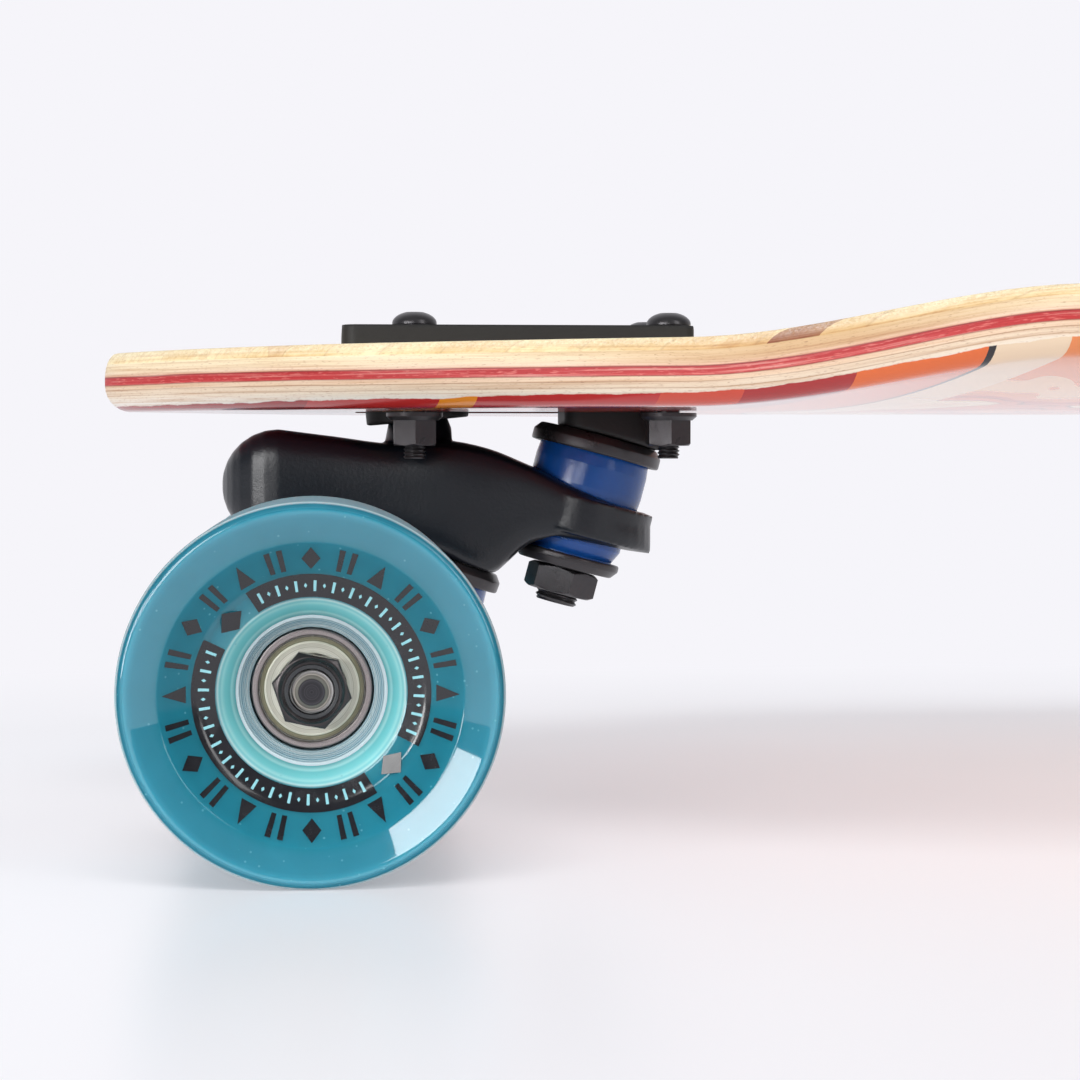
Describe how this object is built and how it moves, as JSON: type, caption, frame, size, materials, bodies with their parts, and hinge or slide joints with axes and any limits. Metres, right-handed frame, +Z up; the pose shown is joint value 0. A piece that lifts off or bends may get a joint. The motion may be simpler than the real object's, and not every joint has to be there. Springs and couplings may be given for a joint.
{
  "type": "drop-through longboard",
  "caption": "Laminated longboard deck with raised rails, drop-through double-kingpin trucks, sprung turning, and soft translucent wheels on bearings.",
  "frame": {"origin": "on the floor under the middle of the deck", "axes": "+X along the deck towards the rear truck, +Y to the board's right side, +Z up from the floor"},
  "size_m": [1.0154, 0.2516, 0.1077],
  "materials": {
    "bearing_steel": "satin",
    "black_casting": "matte",
    "black_rubber": "matte",
    "black_steel": "satin",
    "blue_urethane": "satin",
    "clear_core": "gloss",
    "laminated_maple": "satin",
    "teal_urethane": "gloss"
  },
  "bodies": {
    "board": {"deck": "laminated_maple", "front_baseplate": "black_casting", "front_baseplate_pivot_cup": "black_rubber", "front_bolt_outer_left": "black_steel", "front_bolt_outer_right": "black_steel", "front_bolt_inner_left": "black_steel", "front_bolt_inner_right": "black_steel", "front_upper_kingpin": "black_steel", "front_upper_washer_board": "black_steel", "front_upper_bushing_board": "blue_urethane", "front_upper_bushing_road": "blue_urethane", "front_upper_washer_road": "black_steel", "rear_baseplate": "black_casting", "rear_baseplate_pivot_cup": "black_rubber", "rear_bolt_outer_left": "black_steel", "rear_bolt_outer_right": "black_steel", "rear_bolt_inner_left": "black_steel", "rear_bolt_inner_right": "black_steel", "rear_upper_kingpin": "black_steel", "rear_upper_washer_board": "black_steel", "rear_upper_bushing_board": "blue_urethane", "rear_upper_bushing_road": "blue_urethane", "rear_upper_washer_road": "black_steel"},
    "front_knuckle": {"front_knuckle": "black_casting", "front_knuckle_pivot_cup": "black_rubber", "front_lower_kingpin": "black_steel", "front_lower_washer_board": "black_steel", "front_lower_bushing_board": "blue_urethane", "front_lower_bushing_road": "blue_urethane", "front_lower_washer_road": "black_steel"},
    "rear_knuckle": {"rear_knuckle": "black_casting", "rear_knuckle_pivot_cup": "black_rubber", "rear_lower_kingpin": "black_steel", "rear_lower_washer_board": "black_steel", "rear_lower_bushing_board": "blue_urethane", "rear_lower_bushing_road": "blue_urethane", "rear_lower_washer_road": "black_steel"},
    "front_hanger": {"front_hanger": "black_casting", "front_left_axle_nut": "black_steel", "front_right_axle_nut": "black_steel"},
    "rear_hanger": {"rear_hanger": "black_casting", "rear_left_axle_nut": "black_steel", "rear_right_axle_nut": "black_steel"},
    "front_left_wheel": {"front_left_tyre": "teal_urethane", "front_left_wheel_core": "clear_core", "front_left_inboard_bearing": "bearing_steel", "front_left_outboard_bearing": "bearing_steel"},
    "front_right_wheel": {"front_right_tyre": "teal_urethane", "front_right_wheel_core": "clear_core", "front_right_inboard_bearing": "bearing_steel", "front_right_outboard_bearing": "bearing_steel"},
    "rear_left_wheel": {"rear_left_tyre": "teal_urethane", "rear_left_wheel_core": "clear_core", "rear_left_inboard_bearing": "bearing_steel", "rear_left_outboard_bearing": "bearing_steel"},
    "rear_right_wheel": {"rear_right_tyre": "teal_urethane", "rear_right_wheel_core": "clear_core", "rear_right_inboard_bearing": "bearing_steel", "rear_right_outboard_bearing": "bearing_steel"}
  },
  "joints": [
    {"name": "front_upper_pivot", "type": "hinge", "parent": "board", "child": "front_knuckle", "pos_m": [-0.4403, 0, 0.089], "axis": [0.8112, 0, -0.5847], "range_deg": [-9, 9], "stiffness_Nm_per_rad": 40, "deforming": ["front_upper_bushing_board", "front_upper_bushing_road"]},
    {"name": "front_lower_pivot", "type": "hinge", "parent": "front_knuckle", "child": "front_hanger", "pos_m": [-0.4703, 0, 0.07], "axis": [0.6723, 0, -0.7403], "range_deg": [-9, 9], "stiffness_Nm_per_rad": 40, "deforming": ["front_lower_bushing_board", "front_lower_bushing_road"]},
    {"name": "rear_upper_pivot", "type": "hinge", "parent": "board", "child": "rear_knuckle", "pos_m": [0.4403, 0, 0.089], "axis": [-0.8112, 0, -0.5847], "range_deg": [-9, 9], "stiffness_Nm_per_rad": 40, "deforming": ["rear_upper_bushing_board", "rear_upper_bushing_road"]},
    {"name": "rear_lower_pivot", "type": "hinge", "parent": "rear_knuckle", "child": "rear_hanger", "pos_m": [0.4703, 0, 0.07], "axis": [-0.6723, 0, -0.7403], "range_deg": [-9, 9], "stiffness_Nm_per_rad": 40, "deforming": ["rear_lower_bushing_board", "rear_lower_bushing_road"]},
    {"name": "front_left_wheel_spin", "type": "hinge", "parent": "front_hanger", "child": "front_left_wheel", "pos_m": [-0.4623, 0, 0.0345], "axis": [0, 1, 0], "continuous": true},
    {"name": "front_right_wheel_spin", "type": "hinge", "parent": "front_hanger", "child": "front_right_wheel", "pos_m": [-0.4623, 0, 0.0345], "axis": [0, 1, 0], "continuous": true},
    {"name": "rear_left_wheel_spin", "type": "hinge", "parent": "rear_hanger", "child": "rear_left_wheel", "pos_m": [0.4623, 0, 0.0345], "axis": [0, 1, 0], "continuous": true},
    {"name": "rear_right_wheel_spin", "type": "hinge", "parent": "rear_hanger", "child": "rear_right_wheel", "pos_m": [0.4623, 0, 0.0345], "axis": [0, 1, 0], "continuous": true}
  ]
}
